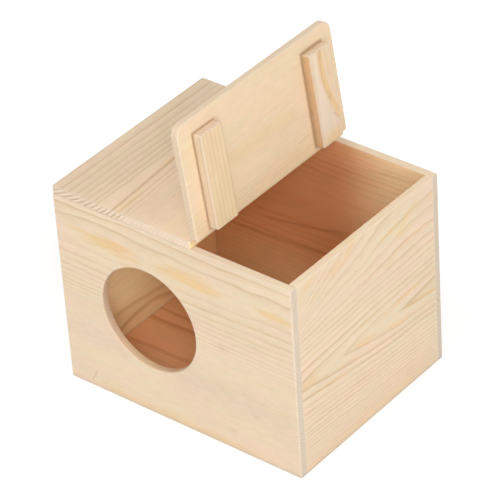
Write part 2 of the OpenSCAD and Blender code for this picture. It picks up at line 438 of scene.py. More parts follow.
contactShadeHabit = {"ragged": (0.5, 0.5, 0.5), "raggedShare": 0.5, "edge": (1.0, 0.15)}


def contactShadeGroup():  # painted contact shade that darkens a face beside another piece's box
    tree, given, result = newGroup(
        "seamShade",
        {"Board": "Vector", "Low": "Vector", "High": "Vector", "Reach": 1.0, "Strength": 0.5},
        {"Shade": "Float"},
    )
    none = (0.0, 0.0, 0.0)
    under = vectorCalc(tree, "SUBTRACT", given["Low"], given["Board"])
    over = vectorCalc(tree, "SUBTRACT", given["Board"], given["High"])
    under, over = (vectorCalc(tree, "MAXIMUM", side, none) for side in (under, over))
    away = vectorCalc(tree, "LENGTH", vectorCalc(tree, "ADD", under, over))
    away = divide(tree, away, given["Reach"])
    ragged = swing(tree, given["Board"], contactShadeHabit["ragged"], 2.0)
    away = multiplyAdd(tree, ragged, contactShadeHabit["raggedShare"], away)
    feed(tree, result["Shade"], ramp(tree, away, *contactShadeHabit["edge"], 0.0, given["Strength"]))
    return tree


arrisHabit = {"patches": (0.12, 0.12, 0.12), "peaks": (0.30, 0.60), "wear": (0.35, 1.0)}


def arrisGroup():  # sanded and handled edges
    tree, given, result = newGroup(
        "arrisWear",
        {"Board": "Vector", "Low": "Vector", "High": "Vector", "Width": 1.2},
        {"Edge": "Float"},
    )
    below = vectorCalc(tree, "SUBTRACT", given["Board"], given["Low"])
    above = vectorCalc(tree, "SUBTRACT", given["High"], given["Board"])
    x, y, z = split(tree, vectorCalc(tree, "MINIMUM", below, above))
    # near an edge two of the three are small, so the second smallest tells how near
    least = calc(tree, "MINIMUM", x, y)
    most = calc(tree, "MINIMUM", maximum(tree, x, y), z)
    edge = ramp(tree, maximum(tree, least, most), 0.0, given["Width"], 1.0, 0.0)
    patches = noise(tree, given["Board"], arrisHabit["patches"], 3.0)
    worn = ramp(tree, patches, *arrisHabit["peaks"], *arrisHabit["wear"])
    feed(tree, result["Edge"], multiply(tree, edge, worn))
    return tree


pineTints = {
    "Base": (0.84, 0.675, 0.505),
    "LateTint": (0.76, 0.56, 0.36),
    "LineTint": (0.62, 0.42, 0.25),
    "AmberTint": (0.84, 0.59, 0.31),
    "MarkTint": (0.50, 0.32, 0.18),
    "EndTint": (0.71, 0.60, 0.49),
    "ArrisTint": (0.72, 0.61, 0.50),
    # the colour of the painted contact shade beside other pieces
    "SeamTint": (0.50, 0.32, 0.18),
    "SideTint": (1.0, 1.0, 1.0),  # this and the next are factors on the colour, and both paint light and shade: the first on the narrow sides, the next on the faces in the chamber
    "InnerTint": (1.0, 0.86, 0.70),
}
pineLevels = {
    **dict.fromkeys(("Late", "Line", "Canal", "Amber", "Mark", "End", "Side"), 0.0),
    **dict.fromkeys(("Arris", "Inner", "Seam"), 0.0),
    **dict.fromkeys(("Ring", "Fibre", "Wash", "Mottle", "Hue", "Grit"), 0.5),
    "Tone": 1.0,
    "EndLines": 0.8,
    "ArrisShare": 0.6,
    "Strength": 1.0,
}
pineHabit = {
    "faintRing": 0.55,
    "late": 0.75,
    "line": 0.55,
    "hues": ((1.02, 0.985, 0.985), (0.985, 1.01, 0.955)),
    "huePeaks": (0.30, 0.70),
    "tones": {"Fibre": 0.18, "Wash": 0.12, "Mottle": 0.10},
    "canalTone": -0.10,
    "endLate": 0.35,
    "endGrit": 0.35,
    "end": 0.85,
    "rough": 0.68,
    "roughLate": -0.10,
    "roughBy": {"Fibre": 0.12, "End": 0.10, "Amber": -0.08, "Arris": -0.12},
    "highLate": 0.5,
    "highBy": {"Fibre": 0.5, "Canal": -0.4, "Mark": -0.5},
    "highGrit": 0.8,
}


def addShares(tree, total, values, shares):
    for name, share in shares.items():
        total = multiplyAdd(tree, values[name], share, total)
    return total


def pineGroup():
    tree, given, result = newGroup(
        "pineColour",
        {**pineTints, **pineLevels},
        {"Colour": "Color", "Roughness": "Float", "Height": "Float"},
    )
    habit = pineHabit
    strong = ramp(tree, given["Ring"], 0.0, 1.0, habit["faintRing"], 1.0, smooth=False)
    strong = multiply(tree, given["Strength"], strong)
    broad = multiply(tree, given["Late"], strong)
    line = multiply(tree, given["Line"], strong)
    late = multiply(tree, broad, habit["late"], clamp=True)
    colour = mixColour(tree, late, given["Base"], given["LateTint"])
    colour = mixColour(tree, given["Amber"], colour, given["AmberTint"])
    drawn = multiply(tree, line, habit["line"], clamp=True)
    colour = mixColour(tree, drawn, colour, given["LineTint"])
    colour = mixColour(tree, given["Mark"], colour, given["MarkTint"])
    hue = mixColour(tree, ramp(tree, given["Hue"], *habit["huePeaks"]), *habit["hues"])
    colour = mixColour(tree, 1.0, colour, hue, "MULTIPLY")
    tone = 1.0
    for name, share in habit["tones"].items():
        tone = multiplyAdd(tree, subtract(tree, given[name], 0.5), share, tone)
    tone = multiplyAdd(tree, given["Canal"], habit["canalTone"], tone)
    colour = vectorCalc(tree, "SCALE", colour, multiply(tree, tone, given["Tone"]))
    # painted light and shade on the narrow sides
    colour = tinted(tree, given["Side"], colour, given["SideTint"])
    endRings = multiplyAdd(tree, broad, habit["endLate"], line)
    endRings = multiply(tree, endRings, given["EndLines"], clamp=True)
    ends = mixColour(tree, endRings, given["EndTint"], given["LineTint"])
    sawn = multiplyAdd(tree, subtract(tree, given["Grit"], 0.5), habit["endGrit"], 1.0)
    ends = vectorCalc(tree, "SCALE", ends, sawn)
    colour = mixColour(tree, multiply(tree, given["End"], habit["end"]), colour, ends)
    # painted light and shade on the faces in the chamber
    colour = tinted(tree, given["Inner"], colour, given["InnerTint"])
    worn = multiply(tree, given["Arris"], given["ArrisShare"])
    colour = mixColour(tree, worn, colour, given["ArrisTint"])
    # painted contact shade beside other pieces and the ground
    colour = mixColour(tree, given["Seam"], colour, given["SeamTint"])
    rough = multiplyAdd(tree, broad, habit["roughLate"], habit["rough"])
    height = multiply(tree, broad, habit["highLate"])
    height = addShares(tree, height, given, habit["highBy"])
    grit = multiply(tree, given["Grit"], given["End"])
    feedAll(tree, result, {
        "Colour": colour,
        "Roughness": addShares(tree, rough, given, habit["roughBy"]),
        "Height": multiplyAdd(tree, grit, habit["highGrit"], height),
    })
    return tree


rings = ringGroup()
grainLine = grainLineGroup()
lobes = lobeGroup()
fibres = fibreGroup()
knots = knotGroup()
contactShades = contactShadeGroup()
arris = arrisGroup()
pine = pineGroup()
print("wood groups built")


def newMaterial(name, metallic=0.0):
    material = bpy.data.materials.new(name)
    material.use_nodes = True
    tree = material.node_tree
    tree.nodes.clear()
    shader = place(tree, "ShaderNodeBsdfPrincipled")
    shader.inputs["Metallic"].default_value = metallic
    output = place(tree, "ShaderNodeOutputMaterial")
    tree.links.new(shader.outputs[0], output.inputs[0])
    return material, tree, shader


def addBump(tree, shader, height, strength, rise):  # rise is in metres
    bump = place(tree, "ShaderNodeBump")
    feedAll(tree, bump.inputs, {"Strength": strength, "Distance": rise, "Height": height})
    feed(tree, shader.inputs["Normal"], bump.outputs[0])


def turnClosed(tree, vector, centre):  # from how the lid stands at rest to closed
    turn = place(tree, "ShaderNodeVectorRotate", rotation_type="Y_AXIS")
    feedAll(tree, turn.inputs, {"Vector": vector, "Center": centre, "Angle": openAngle})
    return turn.outputs[0]


def spotOn(tree, piece=None):  # millimetres; the lid's pieces are described closed
    spot = place(tree, "ShaderNodeTexCoord").outputs["Object"]
    if piece in lidPieces:
        spot = turnClosed(tree, spot, lidPin)
    return vectorCalc(tree, "SCALE", spot, perMetre)


def facingOf(tree, piece):
    facing = place(tree, "ShaderNodeTexCoord").outputs["Normal"]
    return turnClosed(tree, facing, (0.0, 0.0, 0.0)) if piece in lidPieces else facing


def zoneCurve(tree, value, stops):  # stops gives a level for some places, in millimetres
    low, high = min(stops), max(stops)
    node = place(tree, "ShaderNodeValToRGB")
    scale = node.color_ramp
    while len(scale.elements) < len(stops):
        scale.elements.new(1.0)
    for element, spot in zip(scale.elements, sorted(stops)):
        element.position = (spot - low) / (high - low)
    for element, spot in zip(scale.elements, sorted(stops)):
        element.color = (*(stops[spot],) * 3, 1.0)
    feed(tree, node.inputs[0], ramp(tree, value, low, high, smooth=False))
    return node.outputs[0]


def rowsOf(names, *rows):  # marks as rows of numbers under the names of their columns
    return [dict(zip(names.split(), row)) for row in rows]


def strongest(tree, level, group, output, board, marks, **shared):
    for values in marks:
        mark = useGroup(tree, group, Board=board, **shared, **values)[output]
        level = maximum(tree, level, mark)
    return level


ground = ((-200.0, -200.0, -50.0), (200.0, 200.0, 0.2))  # millimetres, 0.2 up the walls


def closedBox(piece):  # a piece's lowest and highest corner in millimetres, with the lid closed
    if piece == "ground":
        return ground
    turn = openLid.inverted() if piece in lidPieces else Matrix.Identity(4)
    spots = [turn @ vertex.co * perMetre for vertex in nodes[piece].data.vertices]
    return [[round(pick(values), 3) for values in zip(*spots)] for pick in (min, max)]


def axisOrder(board):  # of the letters in "axes": along the grain, across the board, into it
    return ["xyz".index(letter) for letter in board["axes"]]


def bestFace(piece, board):  # where the board's depth starts, on the last of its axes
    low, high = closedBox(piece)
    return (low if board["into"] > 0 else high)[axisOrder(board)[2]]


def boxOnBoard(other, piece, board):  # another piece's box on the board's own axes
    corners = []
    for corner in closedBox(other):
        along, across, depth = (corner[index] for index in axisOrder(board))
        depth = round((depth - bestFace(piece, board)) * board["into"], 3)
        corners.append((along, across, depth))
    return {"Low": tuple(map(min, *corners)), "High": tuple(map(max, *corners))}


plainBoard = {  # what a board has unless its own dictionary says otherwise
    "edgeOn": (0.55, 0.85),  # how far a face turns before it counts as an end or a side
    "fade": (0.35, 0.60),  # a slow noise that lets the rings fade here and there
    "faint": 0.55,  # how strong they stay there
    "edgeLines": 0.45,  # how strong they are on the long edges
    "endZone": 0.6,  # the least that they are on the ends
    "fleck": 0.25,  # resin in the late wood
    "tintOneSide": False,
    "lobes": (),  # patches of resin
    "streaks": (),  # lines of resin, by their place across the board
    "lines": (),  # dark lines, by where their ring meets the best face
    "knots": (),
    "beside": {},  # neighbours beside which a painted contact shade darkens the face: how far it reaches and how dark it is
    "look": {},  # what differs from pineTints and pineLevels
    "specular": 0.35,
    "bump": (0.4, 0.0002),  # strength, and metres
}


def boardMaterial(piece, board):
    board = {**plainBoard, **board}
    material, tree, shader = newMaterial(piece + "_pine")
    order = axisOrder(board)
    millimetres = split(tree, spotOn(tree, piece))
    along, across, depth = (millimetres[index] for index in order)
    depth = multiply(tree, subtract(tree, depth, bestFace(piece, board)), board["into"])
    own = join(tree, along, across, depth)
    normal = split(tree, facingOf(tree, piece))
    ends, sides = (calc(tree, "ABSOLUTE", normal[index]) for index in order[:2])
    end = ramp(tree, ends, *board["edgeOn"])
    side = ramp(tree, sides, *board["edgeOn"])
    tintedSide = side
    # only one narrow side takes the painted side tint
    if board["tintOneSide"]:
        tintedSide = ramp(tree, normal[order[1]], *board["edgeOn"])
    if "warp" in board:
        face = board["warp"](tree, along, across, own)
        ring = useGroup(tree, rings, Board=join(tree, along, face, depth), **board["log"])
    else:
        ring = useGroup(tree, rings, Board=own, **board["log"])
        face = ring["Face"]
    fibre = useGroup(tree, fibres, Board=own, Seed=board["log"]["Seed"])
    tints = dict(board["look"])
    chamberShading = 0.0
    # painted light and shade on the faces in the chamber
    if "inside" in board:
        chamberShading, chamberShadingTint = chamberLightAndShadeTint(tree, along, across, depth, board["inside"])
        tints["InnerTint"] = chamberShadingTint
    values = {name: ring[name] for name in ("Late", "Line", "Ring")}
    for name in ("Fibre", "Canal", "Wash", "Mottle", "Hue", "Grit"):
        values[name] = fibre[name]
    look = useGroup(
        tree, pine, **values, **tints, End=end, Side=tintedSide, Inner=chamberShading,
        Strength=ringStrength(tree, board, face, fibre["Fade"], end, side),
        Amber=amberOn(tree, board, own, across, fibre["Fleck"], ring["Late"]),
        Mark=marksOn(tree, board, own, along, across, face),
        Seam=contactShadesOn(tree, piece, board, own),
        Arris=useGroup(tree, arris, Board=own, **boxOnBoard(piece, piece, board))["Edge"],
        Tone=toneOn(tree, board, along, across))
    feed(tree, shader.inputs["Base Color"], look["Colour"])
    feed(tree, shader.inputs["Roughness"], look["Roughness"])
    shader.inputs["Specular IOR Level"].default_value = board["specular"]
    addBump(tree, shader, look["Height"], *board["bump"])
    return material


def ringStrength(tree, board, face, fade, end, side):  # how strongly the rings show
    strength = ramp(tree, fade, *board["fade"], board["faint"], 1.0)
    strength = multiply(tree, strength, ramp(tree, side, 0.0, 1.0, 1.0, board["edgeLines"]))
    level = board["endZone"]  # end grain shows its rings even where the face is plain
    if "endZones" in board:
        level = zoneCurve(tree, face, board["endZones"])
    zone = zoneCurve(tree, face, board["zones"])
    return multiply(tree, strength, maximum(tree, zone, multiply(tree, end, level)))


def amberOn(tree, board, own, across, fleck, late):  # flecks, lobes and streaks of resin
    seed = board["log"]["Seed"]
    amber = multiply(tree, multiply(tree, fleck, late), board["fleck"])
    if "fleckZones" in board:
        amber = multiply(tree, amber, zoneCurve(tree, across, board["fleckZones"]))
    amber = strongest(tree, amber, lobes, "Lobe", own, board["lobes"], Seed=seed)
    return strongest(
        tree, amber, grainLine, "Line", own, board["streaks"], Face=across, Seed=seed)


def marksOn(tree, board, own, along, across, face):  # single dark lines, knots and a scratch
    seed = board["log"]["Seed"]
    mark = strongest(tree, 0.0, grainLine, "Line", own, board["lines"], Face=face, Seed=seed)
    mark = strongest(tree, mark, knots, "Core", own, board["knots"], Seed=seed)
    if "scratch" in board:
        mark = maximum(tree, mark, scratchMark(tree, along, across, board["scratch"]))
    return mark


# painted contact shade beside each neighbour
def contactShadesOn(tree, piece, board, own):
    neighbours = []
    for other, (reach, dark) in board["beside"].items():
        box = boxOnBoard(other, piece, board)
        neighbours.append({**box, "Reach": reach, "Strength": dark})
    return strongest(tree, 0.0, contactShades, "Shade", own, neighbours)


def toneOn(tree, board, along, across):
    tone = zoneCurve(tree, across, board["tone"]) if "tone" in board else 1.0
    if "toneAlong" in board:
        tone = multiply(tree, zoneCurve(tree, along, board["toneAlong"]), tone)
    return tone


def chamberLightAndShadeTint(tree, along, across, depth, inside):  # painted light and shade: the faces in the chamber are tinted a darker, warmer brown, and lighter where light falls in
    chamberShading = ramp(tree, depth, *inside["depth"])
    tint = inside["tint"]
    # painted light and shade: a second tint towards one end of the board
    if "far" in inside:
        far = inside["far"]
        tint = mixColour(tree, ramp(tree, along, *far["fade"]), tint, far["tint"])
    # painted light towards one edge of the board
    if "low" in inside:
        low = inside["low"]
        tint = tinted(tree, ramp(tree, across, *low["fade"]), tint, low["tint"])
    if "bore" in inside:  # the wall of the entrance hole, with painted shade that deepens towards the chamber, broken up by noise
        bore = inside["bore"]
        x, y = (round(entrance["pos_m"][axis] * perMetre, 3) for axis in (0, 2))
        away = distance(tree, subtract(tree, along, x), subtract(tree, across, y))
        outer, inmost = (entrance["dims"]["r_mm"] + step for step in bore["rim"])
        wall = ramp(tree, away, outer, inmost)
        tint = mixColour(tree, wall, tint, bore["tint"])
        grime = swing(tree, join(tree, along, across, depth), bore["grime"], 2.0)
        grime = multiplyAdd(tree, grime, bore["stray"], depth)
        grime = ramp(tree, grime, *bore["deep"], *bore["levels"])
        chamberShading = maximum(tree, chamberShading, multiply(tree, wall, grime))
    return chamberShading, tint


def dress(piece, material):
    data = nodes[piece].data
    for index in range(len(data.materials)):
        data.materials[index] = material


# Each board: axes names the model's axes that run along its grain, across it and into it, and
# into says which way its depth runs from its best face. log is the tree it was cut from. zones
# says how strongly the rings show from place to place across the face, tone how light the face
# is made there (on the roof this is painted light and shade), inside gives the painted light
# and shade on the faces in the chamber, beside the painted contact shade next to other pieces,
# look the tints that differ (its side tints paint light and shade), and the rest are the
# board's own marks.

# painted contact shade along the foot of the walls, where they stand on the ground
groundContactShade = (3.0, 0.32)  # millimetres that it reaches, and how dark it is
contactShadeColour = (0.45, 0.40, 0.36)
frontBoard = {
    "axes": "xzy", "into": 1,
    "log": {
        "PithAcross": 96.0, "PithDepth": 40.0, "Spacing": 1.7, "Start": 1.38, "Wander": 0.7,
        "Uneven": 0.3, "Seed": 3.0,
    },
    "zones": {
        0: 0.06, 29: 0.08, 33: 0.2, 38: 0.2, 42: 0.08, 52: 0.18, 62: 0.6, 80: 0.85, 85: 0.6,
        90: 0.12, 101: 0.2, 104: 1.0, 114: 1.0,
    },
    "tone": {0: 1.0, 26: 1.0, 31: 0.97, 37: 0.965, 43: 0.985, 50: 1.0, 114: 1.0},
    "toneAlong": {-75: 1.0, -5: 1.0, 30: 0.975, 75: 0.975},
    "lobes": rowsOf(
        "Along Across Length Width Strength",
        (-41, 96.5, 28, 5, 0.9),
        (-32, 93.5, 17, 3, 0.6),
        (11, 95.5, 30, 5.5, 0.9),
        (64.5, 94.5, 15, 4, 0.8),
        (-5, 1.5, 95, 5, 0.5),
    ),
    "knots": rowsOf(
        "Along Across Radius Strength",
        (29.8, 61.4, 1.6, 0.3),
        (48.7, 27.6, 1.2, 0.22),
        (33, 12, 1.3, 0.25),
    ),
    "scratch": {
        "from": (-60.6, 3.2), "to": (-55.7, 12.6), "width": (0.9, 0.1), "strength": 0.42,
        "waver": (0.35, 1.0, 1.0), "stray": 1.6, "start": 1.5, "tail": 4.0,
    },
    "beside": {"ground": groundContactShade},
    "look": {"SeamTint": contactShadeColour},
    # a warmer painted shade on the face in the chamber, and in the entrance hole
    "inside": {
        "depth": (3.9, 4.3), "tint": (1.05, 0.96, 0.86),
        # painted shade on the entrance hole's wall, deeper towards the chamber; grime only breaks it up with noise
        "bore": {
            "tint": (0.84, 0.69, 0.56), "rim": (0.6, 0.2),
            "grime": (0.5, 0.5, 1.2), "stray": 3.0, "deep": (0.0, 4.5), "levels": (0.55, 1.0),
        },
    },
}


def scratchMark(tree, along, across, scratch):  # a rubbed dark line between two spots
    (x0, y0), (x1, y1) = scratch["from"], scratch["to"]
    length = math.hypot(x1 - x0, y1 - y0)
    dx, dy = (x1 - x0) / length, (y1 - y0) / length
    x = subtract(tree, along, x0)
    y = subtract(tree, across, y0)
    run = multiplyAdd(tree, x, dx, multiply(tree, y, dy))
    off = multiplyAdd(tree, y, dx, multiply(tree, x, -dy))
    waver = swing(tree, join(tree, run, 0.0, 0.0), scratch["waver"])
    off = calc(tree, "ABSOLUTE", multiplyAdd(tree, waver, scratch["stray"], off))
    line = ramp(tree, off, *scratch["width"], 0.0, scratch["strength"])
    start = ramp(tree, run, 0.0, scratch["start"])
    tail = ramp(tree, run, length - scratch["tail"], length, 1.0, 0.0)
    return multiply(tree, line, multiply(tree, start, tail))


backBoard = {
    "axes": "xzy", "into": 1,
    "log": {
        "PithAcross": 66.0, "PithDepth": 30.0, "Spacing": 2.5, "Wander": 0.7, "Uneven": 0.6,
        "Seed": 5.0,
    },
    "zones": {
        0: 0.4, 36: 0.5, 40: 0.9, 44: 0.4, 52: 0.7, 58: 0.7, 62: 0.2, 84: 0.25, 90: 0.7, 97: 1.0,
        104: 0.8, 110: 0.5, 114: 0.3,
    },
    "lines": rowsOf(
        "Centre Slope Width From To Waver Strength",
        (101, 0.1, 1.4, 20, 75, 1.5, 0.2),
        (39.8, 0.05, 2.4, -64, 12, 2, 0.45),
        (54.7, 0.16, 2.2, -40, 24, 2, 0.4),
    ),
    "beside": {"ground": groundContactShade},
    "look": {"SeamTint": contactShadeColour, "EndTint": (0.68, 0.585, 0.49)},
    # painted shade on the face in the chamber: darker and redder, with painted light towards the right and towards
    # the bottom
    "inside": {
        "depth": (0.6, 0.2), "tint": (1.03, 0.60, 0.395),
        "far": {"tint": (1.13, 1.06, 0.88), "fade": (10.0, 56.0)},
        "low": {"tint": (1.03, 1.50, 1.70), "fade": (50.0, 8.0)},
    },
}


fan = {
    "height": 72.0,  # millimetres above the base where the lines start to open out
    "full": 95.0,
    "slow": (0.034, 0.018, 0.05),
    "slowStray": 9.0,
    "quick": (0.11, 0.04, 0.1),
    "quickStray": 2.6,
    "step": 2.5,  # from line to line at the front
    "spread": 0.0276,
    "front": -55.5,
    "close": 5.0,  # lines that stay this near, and the rest are wider apart
    "wide": 0.85,
}


def fanOut(tree, along, across, own):  # the lines waver and open out towards the back
    slow = swing(tree, own, fan["slow"], 2.0)
    quick = swing(tree, own, fan["quick"], 2.0)
    waver = multiply(tree, slow, fan["slowStray"])
    waver = multiplyAdd(tree, quick, fan["quickStray"], waver)
    high = ramp(tree, across, fan["height"], fan["full"])
    raised = multiplyAdd(tree, waver, high, across)
    above = maximum(tree, subtract(tree, raised, fan["height"]), 0.0)
    back = multiply(tree, subtract(tree, along, fan["front"]), fan["spread"])
    root = calc(tree, "SQRT", multiplyAdd(tree, back, above, fan["step"] ** 2))
    count = divide(tree, multiply(tree, above, 2.0), add(tree, root, fan["step"]))
    beyond = maximum(tree, subtract(tree, count, fan["close"]), 0.0)
    near = calc(tree, "MINIMUM", count, fan["close"])
    count = multiplyAdd(tree, beyond, fan["wide"], near)
    flat = calc(tree, "MINIMUM", raised, fan["height"])
    return multiplyAdd(tree, count, fan["step"], flat)


rightBoard = {
    "axes": "yzx", "into": -1,
    "log": {
        "PithAcross": 52.0, "LeanAcross": -0.03, "PithDepth": 35.0, "LeanDepth": -0.033,
        "Spacing": 1.7, "Start": 0.02, "Wander": 0.4, "Uneven": 0.4, "Tip": 3.0, "Seed": 7.0,
    },
    "warp": fanOut,
    "zones": {0: 1.0, 32: 1.0, 42: 1.15, 66: 1.1, 72: 1.05, 76: 0.8, 82: 0.8, 92: 0.5, 114: 0.45},
    "fleck": 0.8,
    "fleckZones": {0: 0.25, 38: 0.3, 46: 1.0, 58: 1.0, 64: 0.2, 88: 0.3, 96: 1.0, 114: 1.0},
    "lobes": rowsOf(
        "Along Across Length Width Lift Strength",
        (-47, 110.5, 9, 3.5, 0.4, 0.6),
        (-42, 101, 6, 3, 0.5, 0.35),
        (-23.5, 107.5, 6, 3, 0.4, 0.55),
        (-13, 112.3, 8, 3, 0.3, 0.6),
        (19, 86, 9, 2.5, 0.4, 0.3),
        (34, 104, 12, 4, 0.6, 0.55),
        (-50, 54, 9, 3.5, 0, 0.6),
        (-7, 51, 8, 2.5, 0, 0.5),
        (0, 3, 80, 5, 0, 0.3),
    ),
    "beside": {"ground": groundContactShade},
    "look": {"SeamTint": contactShadeColour, "ArrisTint": (0.84, 0.675, 0.49)},
    # a warmer painted shade on the face in the chamber
    "inside": {"depth": (3.9, 4.3), "tint": (1.06, 0.96, 0.86)},
}
leftBoard = {
    "axes": "yzx", "into": -1,
    "log": {
        "PithAcross": 60.0, "LeanAcross": 0.06, "PithDepth": 35.0, "LeanDepth": 0.02,
        "Spacing": 2.4, "Wander": 0.5, "Seed": 9.0,
    },
    "zones": {0: 0.15, 114: 0.2},
    "lines": rowsOf(
        "Centre Slope Bend Width Waver Strength",
        (18.3, -0.13, -0.0022, 3.4, 1, 0.42),
        (13.2, -0.1, -0.01, 3.4, 1, 0.55),
    ),
    "beside": {"ground": groundContactShade},
    "look": {"MarkTint": (0.60, 0.36, 0.18), "SeamTint": contactShadeColour},
    # painted light on the face in the chamber, redder towards the back
    "inside": {
        "depth": (0.6, 0.2), "tint": (1.13, 1.07, 0.84),
        "far": {"tint": (1.12, 0.90, 0.65), "fade": (8.0, 40.0)},
    },
}
floorBoard = {
    "axes": "xyz", "into": -1,
    "log": {"PithAcross": -12.0, "PithDepth": 22.0, "Spacing": 2.4, "Wander": 0.5, "Seed": 11.0},
    "zones": {-56: 0.3, 56: 0.3},
    "lines": rowsOf(
        "Centre Slope Width Waver Strength",
        (4.2, -0.04, 2.2, 2, 0.42),
        (0.8, 0.03, 3, 1.5, 0.55),
        (-20, 0.06, 3, 3, 0.4),
    ),
    "look": {"MarkTint": (0.55, 0.28, 0.14)},
    # painted shade in the corner beside the left end panel
    "beside": {"left_end_panel": (2.0, 0.35)},
    "tone": {-56: 0.86, -30: 0.88, -20: 1.0, 56: 1.0},
    # painted shade on the face in the chamber, lighter towards the right where light falls in
    "inside": {
        "depth": (0.6, 0.2), "tint": (1.04, 0.71, 0.51),
        "far": {"tint": (1.06, 0.91, 0.77), "fade": (-18.0, 16.0)},
    },
}
roofBoard = {
    "axes": "yxz", "into": -1,
    "log": {
        "PithAcross": -93.7, "PithDepth": -58.7, "Spacing": 2.12, "Start": 1.57, "Wander": 0.3,
        "Uneven": 0.15, "Seed": 13.0,
    },
    "zones": {-75: 0.75, -47: 0.8, -44: 0.1, -26: 0.1, 14: 0.1},
    "lines": rowsOf(
        "Centre Slope Width From To Waver Strength",
        (-39.1, -0.066, 1.9, -75, 6, 0.6, 0.68),
        (-34.3, -0.045, 1.3, -75, 30, 0.6, 0.4),
        (-31.4, -0.05, 1.2, -75, 40, 0.6, 0.32),
        (-28.8, -0.05, 1, -75, 20, 0.6, 0.15),
        (-45, 0, 1.6, -200, 200, 0.8, 0.25),
    ),
    "streaks": rowsOf(
        "Centre Slope Width From To Waver Strength",
        (-39.6, -0.066, 3.6, -24, 4, 0.6, 0.55),
        (-34.6, -0.05, 3.4, -75, -34, 0.6, 0.45),
    ),
    # painted light and shade: the roof is made lighter towards the lid and darker to the left, evening out its
    # shading
    "tone": {-75: 0.91, -48: 0.93, -42: 0.99, -24: 1.0, 14: 1.03},
    "endZones": {-75: 1.0, -29: 1.0, -26: 0.12, 14: 0.12},
    # the side facing the lid takes a lighter, golden side tint: painted light on a face in the lid's shade
    "tintOneSide": True,
    "faint": 0.75,
    "look": {
        "Base": (0.85, 0.67, 0.488), "LateTint": (0.73, 0.555, 0.365),
        "LineTint": (0.56, 0.375, 0.235), "MarkTint": (0.58, 0.39, 0.215),
        "EndTint": (0.87, 0.70, 0.535), "EndLines": 2.4, "SideTint": (1.13, 1.18, 0.92),
    },
    # a warmer painted shade on the face in the chamber
    "inside": {"depth": (3.9, 4.3), "tint": (1.03, 0.95, 0.85)},
}
lidBoard = {
    "axes": "yxz", "into": 1,
    "log": {
        "PithAcross": 62.0, "LeanAcross": 0.05, "PithDepth": 25.0, "Spacing": 1.6, "Wander": 0.5,
        "Seed": 15.0,
    },
    "zones": {14: 0.7, 24: 0.6, 32: 0.15, 78: 0.12},
    "lobes": rowsOf(
        "Along Across Length Width Strength",
        (-45, 18, 26, 18, 0.3),
        (10, 15, 60, 14, 0.28),
    ),
    "streaks": rowsOf(
        "Centre Slope Width From To Waver Strength",
        (44, 0, 10, -40, 30, 4, 0.34),
        (60, -0.1, 14, -20, 60, 4, 0.1),
    ),
    # painted contact shade beside the battens
    "beside": {"front_batten": (1.4, 0.6), "rear_batten": (1.7, 0.7)},
    # the side, end and arris tints darken the lid's rim: painted shade over the light its edges catch, and the end
    # tint is also the end grain's colour
    "look": {
        "Base": (0.86, 0.675, 0.475), "EndTint": (0.75, 0.59, 0.43),
        "SideTint": (0.885, 0.895, 0.92), "ArrisTint": (0.78, 0.63, 0.47), "ArrisShare": 0.7,
    },
}
frontBatten = {
    "axes": "xyz", "into": 1,
    "log": {
        "PithAcross": -53.0, "PithDepth": -2.0, "Spacing": 2.8, "Start": 0.5, "Wander": 0.15,
        "Uneven": 0.3, "Seed": 17.0,
    },
    "zones": {-53: 0.4, -47: 0.45, -44: 0.75, -35: 0.75, -34: 0.5},
    "endZone": 1.0,
    "edgeLines": 0.9,
    # painted contact shade on its sides, next to the lid
    "beside": {"lid_board": (1.5, 0.6)},
    # the side tint is painted shade that takes the bounce light's warmth off its narrow sides
    "look": {
        "Base": (0.83, 0.635, 0.41), "LateTint": (0.70, 0.51, 0.295),
        "SideTint": (0.86, 0.885, 1.0), "EndTint": (0.84, 0.64, 0.49),
    },
}
rearBatten = {
    "axes": "xyz", "into": 1,
    "log": {
        "PithAcross": 46.0, "PithDepth": 20.0, "Spacing": 1.9, "Start": 0.4, "Wander": 0.3,
        "Uneven": 0.3, "Seed": 19.0,
    },
    "zones": {34: 0.15, 51: 0.2},
    "lines": rowsOf(
        "Centre Slope Bend Width From Waver Strength",
        (75, -1.1365, 0.009572, 1.6, 10, 0.4, 0.28),
        (35.6, 0, 0, 0.8, -200, 0.4, 0.22),
    ),
    "streaks": rowsOf(
        "Centre Slope Bend Width From Waver Strength",
        (73.3, -0.96, 0.0076, 5, 8, 0.4, 1),
        (77.4, -0.96, 0.0076, 3, 30, 0.8, 0.5),
    ),
    "lobes": rowsOf(
        "Along Across Length Width Strength",
        (18, 44, 8, 12, 0.75),
        (52, 36, 22, 1.8, 0.35),
        (52, 49.5, 24, 4.5, 0.45),
    ),
    "endZone": 1.0,
    # painted contact shade on its sides, darker and wider next to the lid
    "beside": {"lid_board": (3.2, 0.75)},
    # the side tint is a painted shadow on its narrow sides
    "look": {
        "Base": (0.87, 0.71, 0.56), "SideTint": (0.78, 0.64, 0.48), "EndTint": (0.83, 0.64, 0.47),
    },
}

boards = {
    "front_panel": frontBoard,
    "back_panel": backBoard,
    "right_end_panel": rightBoard,
    "left_end_panel": leftBoard,
    "floor_panel": floorBoard,
    "roof_board": roofBoard,
    "lid_board": lidBoard,
    "front_batten": frontBatten,
    "rear_batten": rearBatten,
}
for piece, board in boards.items():
    dress(piece, boardMaterial(piece, board))
print("boards dressed")


# the metal's materials work in the model's millimetres, and the lid's leaves as if it is closed

metalHabit = {
    "brushed": {"detail": 4.0, "roughness": 0.6},
    "crossed": (0.5, 0.5, 0.5),
    "crossedShare": 0.4,
    "thin": (0.5, 5.0, 2.0),
    "scratch": (0.012, 0.0),
    "noises": {
        "Patch": {
            "stretch": (0.35, 0.35, 0.35), "detail": 4.0, "roughness": 0.6,
            "peaks": (0.42, 0.66),
        },
        "Speck": {"stretch": (3.0, 3.0, 3.0), "peaks": (0.64, 0.74)},
    },
    "brushedLimits": (0.3, 0.7),
}


